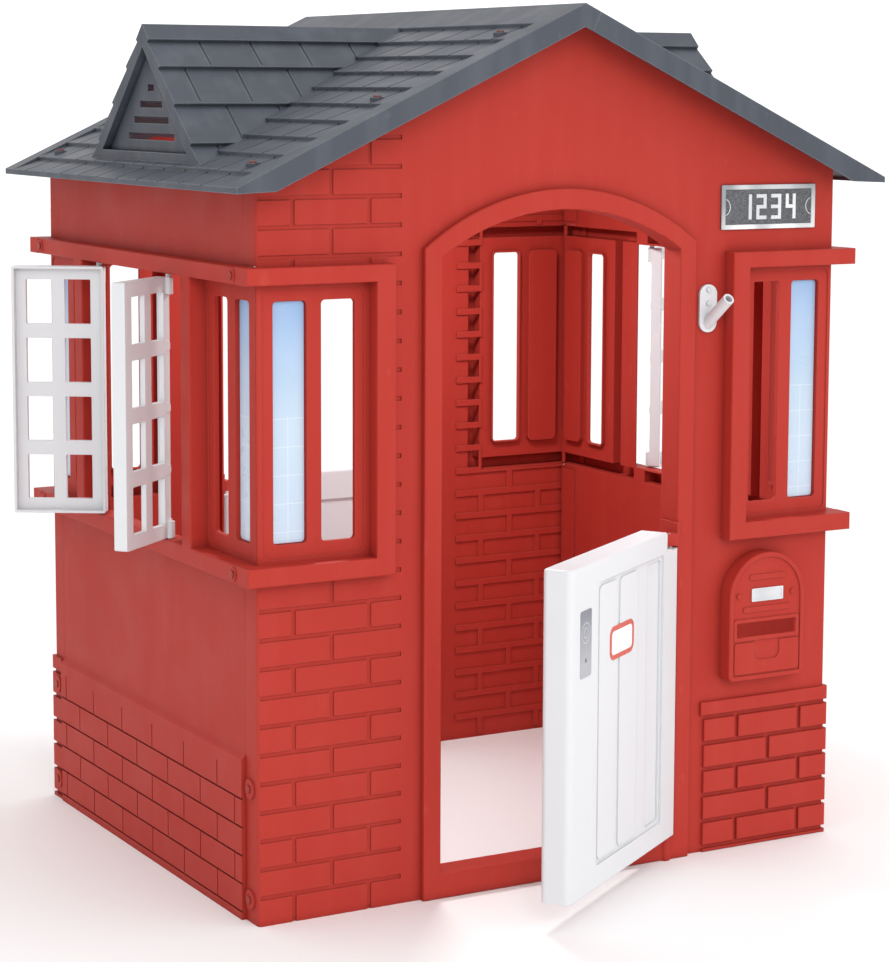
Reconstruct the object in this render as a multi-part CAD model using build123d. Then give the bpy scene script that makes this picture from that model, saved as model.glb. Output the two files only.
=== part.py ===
from build123d import *
import math
import os

os.makedirs("parts", exist_ok=True)

# Frame: millimetres, +Z up, +X to the right of someone facing the door, +Y into the house.
# The origin is on the ground, under the middle of the front wall's outer face.

# ---------------------------------------------------------------- driving dimensions
WIDTH = 968.0            # outer faces of the side walls
DEPTH = 770.0            # outer faces of the front and back walls
SHEET = 3.0              # moulded wall thickness
GAP = 0.5                # play between neighbouring mouldings

RIDGE_Z = 1270.0
EAVE_OUT = 53.0          # roof overhang past the side walls
GABLE_OUT = 55.0         # roof overhang past the gable walls
EAVE_Z = 1020.5          # top of the eave
EAVE_LIP = 8.5
FASCIA = 33.0            # height of the gable fascia
FASCIA_INSET = 58.0      # where the fascia's lower edge starts, from the eave tip
SHINGLE_FROM = 60.0      # the first row starts this far from the ridge
SHINGLE_PITCH = 48.3
SHINGLE_ROWS = 10
SHINGLE_STEP = 6.0
SHINGLE_WIDTH = 75.0
SHINGLE_GAP = 4.0
GAP_DEPTH = 2.4          # depth of the gaps between shingles
RAKE_BAND = 38.0         # smooth band along each gable edge
ROOF_SHEET = 4.0
CAP_LAP = 25.0           # the left half's ridge cap laps over the right half this far
FASCIA_LAP = 12.0
FLANGE_TOP = 1008.0      # side wall flanges stop under the outermost roof screws

HEADER_Z = (888.0, 912.0)
SILL_Z = (480.0, 506.0)
TRIM_OUT = 25.0          # window trim in front of the walls
TRIM_WIDTH = 30.0
EDGE = 2.5               # rounding of the trims' front edges
CORNER_ROUND = 5.0       # rounding of the house's upright corners
SLOT_Z = (531.5, 864.5)
SLOT_RADIUS = 6.0
SLOT_DEPTH = 9.0         # turned-in flange round each window slot
WINDOW_BORDER = 8.0
FIELD_SINK = 1.5         # the field round the slots lies this much deeper
# distances from the corner of the house: blind slot, open slot, inner edge of the trim
FRONT_WINDOW = ((25.0, 76.0), (98.0, 150.0), 171.0)
SIDE_WINDOW = ((26.0, 72.0), (96.0, 142.0), 168.0)
CORNER_WRAP = 12.0       # how far the front and back trims turn the corner

COURSE = 40.15           # brick course
BRICK = 117.0            # brick length with its mortar
MORTAR = 6.5
GROOVE = 2.5
PILLAR = 222.0           # width of the full-height brick pillar
PILLAR_JOINT = 54.5      # first mortar joint, from the corner
PAD = 5.0                # raised bricks
PAD_EDGE = 1.8
PAD_FROM = 228.0         # raised bricks reach this far from the corner
PAD_LIP = 6.5            # the cap course overhangs their inner end
PAD_FOOT = 8.0
PAD_CAP = 24.0
PAD_SPLIT = 60.3         # first joint of the raised bricks, from their inner end
FIELD = 7.0              # raised brick field on the side walls
FIELD_FOOT = 12.0
FIELD_CAP = 62.0
FIELD_GROOVE = 3.0

RETURN = 40.0            # the front and back walls turn the corner this far

DOOR_MID = -2.5          # the doorway sits this far off the wall's middle
DOOR_HALF = 200.0
DOOR_SPRING = 918.0
DOOR_APEX = 980.0
FRAME_HALF = 228.0
FRAME_SPRING = 930.0
FRAME_APEX = 1010.0
FRAME_OUT = 11.0         # door frame in front of the wall
THRESHOLD = 37.0
REVEAL = 33.0            # the door frame's lining reaches this far inside

LEAF_X = (-199.5, 194.5)
LEAF_Y = (-20.2, 24.3)
LEAF_Z = (40.0, 505.0)
LEAF_STEP = (147.5, 476.0)   # lowered hinge end: from this x, this high
LEAF_WALL = 3.0
LEAF_ROUND = 9.0
LEAF_PANEL_X = (-106.5, 134.5)
LEAF_PANEL_Z = (72.0, 474.0)
LEAF_BAND_X = (77.5, 128.5)
LEAF_FLUTES = ((-100.5, -34.5), (-26.5, 39.5))
DOOR_PIN = (185.0, -8.0)
DOOR_PIN_RADIUS = 4.5
DOOR_BEARING = 7.5       # wall round the pin's sockets
PIN_FOOT = 20.0
DOOR_OPEN = 34.0         # degrees open in the stored pose
BRACKET_Z = (479.0, 497.0)

OPENING_HALF = 145.0     # centre window of each side wall
PIN_FROM_MIDDLE = 131.5
PIN_OUT = 18.0
PIN_RADIUS = 4.0
PIN_PLAY = 0.05
PIN_DEPTH = 12.0
SHUTTER_Y = (-16.0, 4.0)
SHUTTER_Z = (507.5, 882.7)
SHUTTER_PAST_PIN = 10.0
SHUTTER_GAP = 2.0
SHUTTER_PLATE = 8.0
SHUTTER_RIM = 4.0
SHUTTER_RAIL = 20.5
FREE_STILE = 19.5
HINGE_STILE = 22.0
MULLION = 19.0
MUNTIN = 21.5
FRONT_SHUTTER_OPEN = 130.0
BACK_SHUTTER_OPEN = 122.0

DORMER_HALF = 208.0
DORMER_Z = (1040.0, 1242.0)
DORMER_ROWS_Z = (1220.0, 1181.0, 1128.0, 1073.0, 1040.0)
DORMER_TILE = 82.0
DORMER_STEP = 6.0
VENT_HALF = 158.0
VENT_Z = (1057.0, 1210.0)
VENT_DEPTH = 9.0
VENT_SLOTS = ((1079.0, 86.0), (1103.0, 65.0), (1126.0, 42.0), (1150.0, 12.0))  # height and half-width

MAIL_X = 352.5
MAIL_HALF = 69.0
MAIL_Z = (264.0, 389.0)
MAIL_OUT = 28.0
MAIL_SLOT_Z = (330.0, 353.0)

PLATE_X = (274.0, 446.0)
PLATE_Z = (944.0, 1010.0)
DIGIT_PITCH = 27.0
DIGIT_WIDTH = 13.0
DIGIT_HEIGHT = 32.0
DIGIT_STROKE = 5.5
FLAG_X = 252.0
FLAG_Z = (793.0, 864.0)
FLAG_HALF = 15.5
FLAG_ROOT_Z = 805.0      # the tube's axis meets the wall here
FLAG_BORE = 5.5
FLAG_TUBE = 8.5
FLAG_TUBE_LENGTH = 69.0
FLAG_ANGLE = 37.0
FLAG_BORE_DEPTH = 49.0
FLAG_SCREW_Z = (836.0, 856.0)

SCREW_HEAD = 5.5
SCREW_SHANK = 2.5
SCREW_HOLE = 2.7
SCREW_Z = (33.0, 190.0)
SCREW_FROM_CORNER = 25.0
ROOF_SCREW_X = (90.0, 286.0, 475.0)
ROOF_SCREW_IN = 28.0     # from the gable wall's outer face
BOSS = 14.0
TRIM_BOSS = 10.5
BOSS_HEIGHT = 3.0

HALF = WIDTH / 2
SIDE_HALF = DEPTH / 2
EAVE_TIP = HALF + EAVE_OUT
SLOPE = (RIDGE_Z - EAVE_Z) / EAVE_TIP
ROOF_ANGLE = math.degrees(math.atan(SLOPE))
UNDER_ROOF = ROOF_SHEET + SHINGLE_STEP
SIDE_TRIM_END = SIDE_HALF - CORNER_WRAP - GAP
TRIM_SCREW_Y = CORNER_WRAP + GAP + TRIM_BOSS + 1


# ---------------------------------------------------------------- small helpers
def block(x0, x1, y0, y1, z0, z1):
    """Block between two opposite corners, whose coordinates may come in either order."""
    middle = Pos((x0 + x1) / 2, (y0 + y1) / 2, (z0 + z1) / 2)
    return middle * Box(abs(x1 - x0), abs(y1 - y0), abs(z1 - z0))


def slab(sketch, y0, y1):
    """Extrude a sketch drawn in x and z from y0 to y1."""
    plane = Plane(origin=(0, y1, 0), x_dir=(1, 0, 0), z_dir=(0, -1, 0))
    return extrude(plane * sketch, amount=y1 - y0)


def rail(sketch, x0, x1):
    """Extrude a sketch drawn in y and z from x0 to x1."""
    plane = Plane(origin=(x0, 0, 0), x_dir=(0, 1, 0), z_dir=(1, 0, 0))
    return extrude(plane * sketch, amount=x1 - x0)


def rect(a0, a1, b0, b1, radius=0.0):
    """Rectangle between two corners, rounded if a radius is given."""
    width = abs(a1 - a0)
    height = abs(b1 - b0)
    shape = RectangleRounded(width, height, radius) if radius else Rectangle(width, height)
    return Pos((a0 + a1) / 2, (b0 + b1) / 2) * shape


def polygon(*points):
    return make_face(Polyline(*points, close=True))


def arch(half, foot, spring, apex):
    """Opening with straight sides and a segmental arch."""
    sides = Polyline((half, spring), (half, foot), (-half, foot), (-half, spring))
    return make_face(sides + ThreePointArc((-half, spring), (0, apex), (half, spring)))


def rod(x, y, z0, z1, radius):
    """Upright cylinder from z0 to z1."""
    return Pos(x, y, (z0 + z1) / 2) * Cylinder(radius, z1 - z0)


def bolt_rod(x, y, z, radius, length):
    """Cylinder along y, from y to y + length."""
    return Pos(x, y + length / 2, z) * Rot(90, 0, 0) * Cylinder(radius, length)


def soft_slab(sketch, y0, y1, radius):
    """Like slab, with the edges of the front face at y0 rounded."""
    part = slab(sketch, y0, y1)
    return fillet(part.faces().sort_by(Axis.Y)[0].edges(), radius)


def roof_z(x):
    """Height of the line that touches the lower edge of every shingle."""
    return RIDGE_Z - SLOPE * abs(x)


def save(part, name):
    """Write one node; a list of solids becomes a group."""
    shape = Compound(children=part) if isinstance(part, list) else part
    shape.label = name
    export_step(shape, "parts/" + name + ".step")


# ---------------------------------------------------------------- brickwork
def grooves(x0, x1, z0, z1, first_joint, width, course=COURSE, foot=0.0, cap=0.0):
    """Mortar lines of a running bond, as one sketch, first_joint being a joint in the lowest course."""
    lines = []
    rows = int(math.ceil((z1 - foot - cap) / course))
    for row in range(rows + 1):
        z = foot + row * course
        if z0 < z < z1:
            lines.append(rect(x0, x1, z - width / 2, z + width / 2))
        low = max(z, z0)
        high = min(z + course, z1)
        if high - low < width:
            continue
        shift = first_joint + (row % 2) * BRICK / 2
        joint = shift - BRICK * math.ceil((shift - x0) / BRICK)
        while joint < x1:
            if joint > x0 + width:
                lines.append(rect(joint - width / 2, joint + width / 2, low, high))
            joint += BRICK
    return Sketch() + lines


def brick_pads():
    """Raised bricks low on the right end of a wall, with a cap course, turning the corner."""
    inner = HALF - PAD_FROM
    outer = HALF + PAD
    turn = RETURN - SHEET
    top = PAD_FOOT + 5 * COURSE
    half = MORTAR / 2
    bands = [(0, PAD_FOOT - half, [inner, outer]), (top + half, top + PAD_CAP, [inner - PAD_LIP, outer])]
    for row in range(5):
        low = PAD_FOOT + row * COURSE
        first = inner + (PAD_SPLIT + BRICK / 2 if row % 2 else PAD_SPLIT)
        joints = [x for x in (first, first + BRICK) if x < HALF - MORTAR]
        bands.append((low + half, low + COURSE - half, [inner, *joints, outer]))
    pads = []
    for low, high, edges in bands:
        for left, right in zip(edges, edges[1:]):
            near = left if left == edges[0] else left + half
            far = right if right == edges[-1] else right - half
            pads.append(soft_slab(rect(near, far, low, high), -PAD, 1, PAD_EDGE))
        pads.append(block(HALF - 1, outer, 1 - PAD, turn, low, high))
    return pads


# ---------------------------------------------------------------- windows
def corner_trim(side):
    """Header, sill and upright of a front or back corner window, and their hollow backs."""
    near = HALF - FRONT_WINDOW[2]
    far = near - TRIM_WIDTH
    face = -TRIM_OUT
    inside = SHEET - TRIM_OUT
    end = HALF + TRIM_OUT
    outline = rect(side * far, side * end, SILL_Z[0], HEADER_Z[1])
    outline -= rect(side * near, side * (end + 1), SILL_Z[1], HEADER_Z[0])
    solid = [soft_slab(outline, face, SHEET, EDGE)]
    hollow = [block(side * (far + SHEET), side * (near - SHEET), inside, SHEET + 1,
                    SILL_Z[0] + SHEET, HEADER_Z[1] - SHEET)]
    for low, high in (HEADER_Z, SILL_Z):
        solid.append(block(side * HALF, side * end, face + EDGE, CORNER_WRAP, low, high))
        hollow.append(block(side * (far + SHEET), side * (end - SHEET), inside, SHEET + 1,
                            low + SHEET, high - SHEET))
        hollow.append(block(side * (HALF - SHEET - 1), side * (end - SHEET), inside, CORNER_WRAP + 1,
                            low + SHEET, high - SHEET))
    return solid, hollow


def corner_tongues(side):
    """Tongues that reach inside the side walls' hollow headers and sills."""
    outer = HALF + TRIM_OUT - SHEET
    tongues = []
    for low, high in (HEADER_Z, SILL_Z):
        tongue = block(side * (outer - SHEET - GAP), side * (outer - GAP), SHEET - TRIM_OUT - 1,
                       CORNER_WRAP + 30, low + SHEET + GAP, high - SHEET - GAP)
        root = block(side * (outer - SHEET - GAP), side * (outer + 1), SHEET - TRIM_OUT - 1,
                     CORNER_WRAP - GAP, low + SHEET - 1, high - SHEET + 1)
        z = (low + high) / 2
        hole = Pos(side * outer, TRIM_SCREW_Y, z) * Rot(0, 90, 0) * Cylinder(SCREW_HOLE, 20)
        tongues.append(tongue + root - hole)
    return tongues


def window_slots(side, corner, window):
    """Flanges of a blind and an open slot, and what is cut out of them and of the field round them."""
    flanges = []
    near = side * (corner - WINDOW_BORDER)
    far = side * (corner - window[2] + WINDOW_BORDER)
    cuts = [slab(rect(near, far, SILL_Z[1] + 6, HEADER_Z[0] - 6, 2 * SLOT_RADIUS), -1, FIELD_SINK)]
    for (near, far), blind in ((window[0], True), (window[1], False)):
        left = side * (corner - near)
        right = side * (corner - far)
        back = SLOT_DEPTH + (SHEET if blind else 0)
        grow = SHEET * (1 if left > right else -1)
        flanges.append(slab(rect(left + grow, right - grow, SLOT_Z[0] - SHEET, SLOT_Z[1] + SHEET,
                                 SLOT_RADIUS + SHEET), SHEET - 1, back))
        deep = SLOT_DEPTH if blind else back + 1
        cuts.append(slab(rect(left, right, SLOT_Z[0], SLOT_Z[1], SLOT_RADIUS), -1, deep))
    return flanges, cuts


def pane(side, corner, window):
    """Printed label that fills the bottom of the blind slot."""
    near, far = window[0]
    left = side * (corner - near - 1)
    right = side * (corner - far + 1)
    outline = rect(left, right, SLOT_Z[0] + 1, SLOT_Z[1] - 1, SLOT_RADIUS - 1)
    return slab(outline, SLOT_DEPTH - 0.6, SLOT_DEPTH)


# ---------------------------------------------------------------- front and back walls
def gable_sheet():
    """Wall outline up to the underside of the roof."""
    under = UNDER_ROOF + 1
    eave = roof_z(HALF) - under
    return polygon((-HALF, 0), (HALF, 0), (HALF, eave), (0, RIDGE_Z - under), (-HALF, eave))


def window_field():
    """Smooth field of the left corner window, where the pillar has no mortar lines."""
    return rect(-HALF - 1, -HALF + FRONT_WINDOW[2], SILL_Z[0], HEADER_Z[1])


def return_bosses(side, out):
    """Round screw bosses on a return, and their screw holes."""
    height = out + BOSS_HEIGHT
    bosses = []
    holes = []
    for z in SCREW_Z:
        boss = Pos(side * (HALF + height / 2), SCREW_FROM_CORNER, z) * Rot(0, 90, 0)
        bosses.append(boss * Cylinder(BOSS, height))
        hole = Pos(side * HALF, SCREW_FROM_CORNER, z) * Rot(0, 90, 0)
        holes.append(hole * Cylinder(SCREW_HOLE, 40))
    return bosses, holes


def corner_cut(side, out, z0, z1):
    """What rounding takes off an upright corner of the house; out is how far it stands proud."""
    x = side * (HALF + out)
    middle = (x - side * CORNER_ROUND, CORNER_ROUND - out)
    edge = block(x + side, middle[0], -out - 1, middle[1], z0, z1)
    return edge - rod(*middle, z0 - 1, z1 + 1, CORNER_ROUND)


def roof_blocks(side):
    """Blocks under the roof that its screws bite into, and their holes."""
    blocks = []
    holes = []
    for distance in ROOF_SCREW_X:
        far = min(distance + 12, HALF)
        high = roof_z(far) - UNDER_ROOF - 1
        inner = side * (distance - 12)
        blocks.append(block(inner, side * far, SHEET - 1, RETURN, high - 14, high))
        holes.append(rod(side * distance, ROOF_SCREW_IN, high - 20, high + 10, SCREW_HOLE))
    return blocks, holes


def door_frame():
    """Raised ring, lining and threshold round the doorway, and what is cut out of them."""
    centre = Pos(DOOR_MID, 0)
    ring = centre * arch(FRAME_HALF, 0, FRAME_SPRING, FRAME_APEX)
    doorway = centre * arch(DOOR_HALF, THRESHOLD, DOOR_SPRING, DOOR_APEX)
    lining = centre * arch(DOOR_HALF + SHEET, 0, DOOR_SPRING + 1, DOOR_APEX + SHEET)
    bearing = rod(*DOOR_PIN, 0, THRESHOLD, DOOR_BEARING)
    adds = [soft_slab(ring - doorway, -FRAME_OUT, SHEET, EDGE), slab(lining, 0, REVEAL), bearing]
    back = centre * arch(FRAME_HALF - SHEET, THRESHOLD, FRAME_SPRING - 1, FRAME_APEX - SHEET) - lining
    threshold = (SHEET - FRAME_OUT, REVEAL - SHEET, -1, THRESHOLD - SHEET)
    cuts = [
        slab(back, SHEET - FRAME_OUT, SHEET + 1),
        slab(doorway, -1, REVEAL + 1),
        block(DOOR_MID - DOOR_HALF, DOOR_PIN[0] - 16, *threshold),
        rod(*DOOR_PIN, PIN_FOOT, THRESHOLD + 1, DOOR_PIN_RADIUS + PIN_PLAY),
    ]
    return adds, cuts


def gable_wall(with_mailbox):
    """One gable wall seen from outside, its full-height pillar on the left of the doorway."""
    wall = slab(gable_sheet(), 0, SHEET)
    top = RIDGE_Z
    mortar = grooves(-HALF, -HALF + PILLAR, 0, top, PILLAR_JOINT - HALF, MORTAR) - window_field()
    wall -= slab(mortar, -1, GROOVE)
    ridges = grooves(1 - HALF, -HALF + PILLAR, 6, top, PILLAR_JOINT - HALF, MORTAR + 4) - window_field()
    wall += slab(ridges & gable_sheet(), SHEET - 1, SHEET + GROOVE)

    frame, cuts = door_frame()
    adds = frame + brick_pads()
    pads_top = PAD_FOOT + 5 * COURSE + PAD_CAP
    eave = roof_z(HALF) - UNDER_ROOF - 3
    for side in (-1, 1):
        for low, high in ((0, SILL_Z[0] - GAP), (HEADER_Z[1] + GAP, eave)):
            adds.append(block(side * (HALF - SHEET), side * HALF, 0, RETURN, low, high))
        solid, hollow = corner_trim(side)
        flanges, slots = window_slots(side, HALF, FRONT_WINDOW)
        bosses, holes = return_bosses(side, PAD if side > 0 else 0)
        blocks, bores = roof_blocks(side)
        adds += solid + flanges + bosses + blocks
        cuts += hollow + slots + holes + bores
        foot = pads_top if side > 0 else -1
        for low, high in ((foot, SILL_Z[0]), (SILL_Z[1], HEADER_Z[0]), (HEADER_Z[1], eave + 10)):
            cuts.append(corner_cut(side, 0, low, high))
    cuts.append(corner_cut(1, PAD, -1, pads_top + 1))
    if with_mailbox:
        adds.append(soft_slab(mail_outline(0), -MAIL_OUT, SHEET, EDGE))
        cuts += mailbox_cuts()
        cuts += [bolt_rod(FLAG_X, -1, z, SCREW_HOLE, SHEET + 2) for z in FLAG_SCREW_Z]
    wall += adds
    wall -= cuts
    for side in (-1, 1):
        wall += corner_tongues(side)
    if with_mailbox:
        wall += mailbox_trim()
    return wall


# ---------------------------------------------------------------- mailbox moulded in the front wall
def mail_outline(inset):
    half = MAIL_HALF - inset
    low = MAIL_Z[0] + inset
    spring = MAIL_Z[1]
    outline = make_face(
        Polyline((half, spring), (half, low), (-half, low), (-half, spring))
        + ThreePointArc((-half, spring), (0, spring + half), (half, spring))
    )
    corners = outline.vertices().sort_by(Axis.Y)[:2]
    return Pos(MAIL_X, 0) * fillet(corners, max(9.0 - inset, 2.0))


def mailbox_cuts():
    """Hollow back, sunk front field and the mail slot."""
    slot = rect(MAIL_X - 56, MAIL_X + 54, *MAIL_SLOT_Z, 3)
    return [
        slab(mail_outline(SHEET), SHEET - MAIL_OUT + 2, SHEET + 1),
        slab(mail_outline(7), -MAIL_OUT - 1, 2 - MAIL_OUT),
        slab(slot, -MAIL_OUT - 1, SHEET + 1),
    ]


def mailbox_trim():
    """Frame round the mail slot, lower flap with its thumb tab, ribs and rivets."""
    face = 2 - MAIL_OUT
    frame = rect(MAIL_X - 61, MAIL_X + 59, MAIL_SLOT_Z[0] - 5, MAIL_SLOT_Z[1] + 5, 4)
    frame -= rect(MAIL_X - 56, MAIL_X + 54, *MAIL_SLOT_Z, 3)
    flap = rect(MAIL_X - 59, MAIL_X + 60, MAIL_Z[0] + 10, MAIL_SLOT_Z[0] - 8, 4)
    tab = rect(MAIL_X - 24, MAIL_X + 24, MAIL_SLOT_Z[0] - 36, MAIL_SLOT_Z[0] - 2, 12)
    shapes = [slab(frame, face - 2, face + 1), slab(flap - tab, face - 1.5, face + 1)]
    for z, half in ((421.0, 33.0), (372.0, 44.0)):
        shapes.append(slab(rect(MAIL_X - half, MAIL_X + half, z - 4, z + 4, 3.5), face - 1.5, face + 1))
    for x in (-52, 47):
        shapes.append(bolt_rod(MAIL_X + x, face - 2, 394, 4, 3))
    return shapes


# ---------------------------------------------------------------- side walls
def brick_field(half):
    """Raised brick field along the foot of a side wall, with its mortar lines."""
    top = FIELD_FOOT + 4 * COURSE + FIELD_CAP
    cap_foot = top - FIELD_CAP
    section = polygon((0, 0), (-FIELD, 0), (-FIELD, top - FIELD), (0, top))
    field = rail(section, -half, half)
    first = BRICK / 4
    lines = grooves(-half, half, FIELD_FOOT - 1, cap_foot + 1, first, FIELD_GROOVE, foot=FIELD_FOOT)
    reach = cap_foot + 0.6 * FIELD_CAP
    for index in range(-3, 3):
        x = first + BRICK * index
        lines += rect(x - FIELD_GROOVE / 2, x + FIELD_GROOVE / 2, cap_foot, reach)
    hollow = slab(rect(SHEET - half, half - SHEET, SHEET, top - 4 * SHEET), -1, SHEET + 1)
    return field - slab(lines, -FIELD - 1, 3 - FIELD), hollow


def side_wall():
    """Side wall seen from outside, its middle at x = 0 and its outer face at y = 0."""
    low_half = SIDE_HALF - RETURN - GAP
    band_half = SIDE_HALF - SHEET - GAP
    eave = roof_z(HALF) - UNDER_ROOF - 5
    band = (SILL_Z[0] + SHEET + GAP, HEADER_Z[1] - SHEET - GAP)
    wall = slab(rect(-low_half, low_half, 0, eave), 0, SHEET)
    wall += slab(rect(-band_half, band_half, *band), 0, SHEET)
    field, hollow = brick_field(low_half)
    adds = [field]
    cuts = [hollow]
    solid_from = PIN_FROM_MIDDLE - 16
    solid_to = PIN_FROM_MIDDLE + 16
    outline = rect(-SIDE_TRIM_END, SIDE_TRIM_END, SILL_Z[0], HEADER_Z[1])
    outer = SIDE_HALF - SIDE_WINDOW[2]
    inner = outer - TRIM_WIDTH
    for x0, x1 in ((-inner, inner), (outer, SIDE_TRIM_END + 1), (-outer, -SIDE_TRIM_END - 1)):
        outline -= rect(x0, x1, SILL_Z[1], HEADER_Z[0])
    adds.append(soft_slab(outline, -TRIM_OUT, SHEET, EDGE))
    for low, high in (HEADER_Z, SILL_Z):
        spans = ((-solid_from, solid_from), (solid_to, SIDE_TRIM_END + 1), (-SIDE_TRIM_END - 1, -solid_to))
        for x0, x1 in spans:
            cuts.append(block(x0, x1, SHEET - TRIM_OUT, SHEET + 1, low + SHEET, high - SHEET))
    for side in (-1, 1):
        near = SIDE_HALF - SIDE_WINDOW[2]
        far = near - TRIM_WIDTH
        cuts.append(block(side * (near - SHEET), side * (far + SHEET), SHEET - TRIM_OUT, SHEET + 1,
                          SILL_Z[0] + SHEET, HEADER_Z[1] - SHEET))
        flanges, slots = window_slots(side, SIDE_HALF, SIDE_WINDOW)
        adds += flanges
        cuts += slots
        for low, high in ((6, SILL_Z[0] - 6), (HEADER_Z[1] + 6, FLANGE_TOP)):
            adds.append(block(side * (SIDE_HALF - 8), side * (low_half - 8), SHEET, 2 * SHEET, low, high))
        for z in SCREW_Z:
            cuts.append(bolt_rod(side * (SIDE_HALF - SCREW_FROM_CORNER), -1, z, SCREW_HOLE, 20))
        pin = (side * PIN_FROM_MIDDLE, -PIN_OUT)
        cuts.append(rod(*pin, HEADER_Z[0] - 1, HEADER_Z[0] + PIN_DEPTH, PIN_RADIUS + PIN_PLAY))
        cuts.append(rod(*pin, SILL_Z[1] - PIN_DEPTH, SILL_Z[1] + 1, PIN_RADIUS + PIN_PLAY))
    cuts.append(slab(rect(-OPENING_HALF, OPENING_HALF, SILL_Z[1], HEADER_Z[0]), -1, SHEET + 1))
    wall += adds
    wall -= cuts
    for side in (-1, 1):
        for low, high in (HEADER_Z, SILL_Z):
            x = side * (SIDE_HALF - TRIM_SCREW_Y)
            wall += bolt_rod(x, -TRIM_OUT - 1.5, (low + high) / 2, TRIM_BOSS, 3)
            wall -= bolt_rod(x, -TRIM_OUT - 3, (low + high) / 2, SCREW_HOLE, 10)
    return wall


# ---------------------------------------------------------------- roof
def shingle_edges():
    """Distances from the ridge of every shingle row's lower edge."""
    return [SHINGLE_FROM + SHINGLE_PITCH * row for row in range(SHINGLE_ROWS)] + [EAVE_TIP]


def roof_section():
    """Stepped section of the left roof half, the same steps showing underneath."""
    edges = shingle_edges()
    top = [(0, RIDGE_Z)]
    under = [(0, RIDGE_Z - UNDER_ROOF)]
    upper = 0.0
    drop = 0.0
    for edge in edges:
        inner = edge - ROOF_SHEET
        share = (inner - upper) / (edge - upper)
        top.append((-edge, roof_z(edge)))
        under.append((-inner, roof_z(inner) - drop * (1 - share) - ROOF_SHEET))
        if edge < EAVE_TIP:
            top.append((-edge, roof_z(edge) - SHINGLE_STEP))
            under.append((-inner, roof_z(inner) - UNDER_ROOF))
        upper = edge
        drop = SHINGLE_STEP
    tip = EAVE_Z - EAVE_LIP
    under += [(ROOF_SHEET - EAVE_TIP, tip), (-EAVE_TIP, tip)]
    return polygon(*top, *reversed(under))


def rake_section(depth):
    """Section of the smooth band and the fascia along a gable edge, down to a depth."""
    tip = EAVE_Z - EAVE_LIP
    foot = EAVE_TIP - FASCIA_INSET
    return polygon((0, RIDGE_Z), (-EAVE_TIP, EAVE_Z), (-EAVE_TIP, tip), (-foot, roof_z(foot) - depth),
                   (0, RIDGE_Z - depth))


def shingle_gaps():
    """Cuts between the shingles of every row of the left half."""
    cutters = []
    upper = SHINGLE_FROM
    for row, edge in enumerate(shingle_edges()[1:]):
        length = (edge - upper) / math.cos(math.radians(ROOF_ANGLE))
        middle = (edge + upper) / 2
        tilt = math.degrees(math.atan(SHINGLE_STEP / (edge - upper)))
        place = Pos(-middle, 0, roof_z(middle) - SHINGLE_STEP / 2) * Rot(0, tilt - ROOF_ANGLE, 0)
        y = SHINGLE_WIDTH * (0.5 if row % 2 else 1.0) - GABLE_OUT
        while y < DEPTH + GABLE_OUT - RAKE_BAND:
            if y > RAKE_BAND - GABLE_OUT:
                cutters.append(Pos(0, y, 0) * place * Box(length, SHINGLE_GAP, 2 * GAP_DEPTH))
            y += SHINGLE_WIDTH
        upper = edge
    return cutters


def dormer_section(inset):
    """Plain section of a dormer in y and z, shrunk inwards by an inset."""
    rise = (DORMER_Z[1] - DORMER_Z[0]) / DORMER_HALF
    peak = DORMER_Z[1] - inset * math.hypot(1, rise)
    foot = DORMER_Z[0] - 60
    half = (peak - foot) / rise
    return polygon((SIDE_HALF - half, foot), (SIDE_HALF + half, foot), (SIDE_HALF, peak))


def tiled_dormer_section():
    """Dormer section whose slopes step in under each row of tiles."""
    rise = (DORMER_Z[1] - DORMER_Z[0]) / DORMER_HALF
    peak = DORMER_Z[1]
    step = DORMER_STEP / math.hypot(1, rise)
    half = [(0, peak)]
    for z in DORMER_ROWS_Z:
        half.append(((peak - z) / rise, z))
        half.append(((peak - z) / rise - step * rise, z - step))
    half.append((half[-1][0] + 20 / rise, half[-1][1] - 20))
    half.append((half[-1][0], DORMER_Z[0] - 60))
    right = [(SIDE_HALF + y, z) for y, z in half]
    left = [(SIDE_HALF - y, z) for y, z in half[:0:-1]]
    return polygon(*right, *left)


def dormer_gaps():
    """Cuts between the dormer's tiles, down both of its slopes."""
    rise = (DORMER_Z[1] - DORMER_Z[0]) / DORMER_HALF
    angle = math.degrees(math.atan(rise))
    cutters = []
    for row, (high, low) in enumerate(zip(DORMER_ROWS_Z, DORMER_ROWS_Z[1:])):
        z = (high + low) / 2
        length = 0.96 * (high - low) / math.sin(math.radians(angle))
        tilt = math.degrees(math.atan(DORMER_STEP / length))
        for side in (-1, 1):
            y = SIDE_HALF + side * ((DORMER_Z[1] - z) / rise - DORMER_STEP / 2)
            x = DORMER_TILE * (0.5 if row % 2 else 1.0) - HALF
            while x < -SHINGLE_FROM:
                cutter = Rot(side * (tilt - angle), 0, 0) * Box(SHINGLE_GAP, length, 2 * GAP_DEPTH)
                cutters.append(Pos(x, y, z) * cutter)
                x += DORMER_TILE
    return cutters


def vent_outline(inset):
    """Triangle of the dormer's recess, shrunk inwards by an inset."""
    rise = (VENT_Z[1] - VENT_Z[0]) / VENT_HALF
    low = VENT_Z[0] + inset
    peak = VENT_Z[1] - inset * math.hypot(1, rise)
    half = (peak - low) / rise
    return polygon((SIDE_HALF - half, low), (SIDE_HALF + half, low), (SIDE_HALF, peak))


def roof_side(z_offset):
    """Everything above a line parallel to the left slope, over the whole depth."""
    low = roof_z(HALF + 200) + z_offset
    area = polygon((-HALF - 200, low), (0, RIDGE_Z + z_offset), (0, RIDGE_Z + 200), (-HALF - 200, RIDGE_Z + 200))
    return slab(area, -100, DEPTH + 100)


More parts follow.
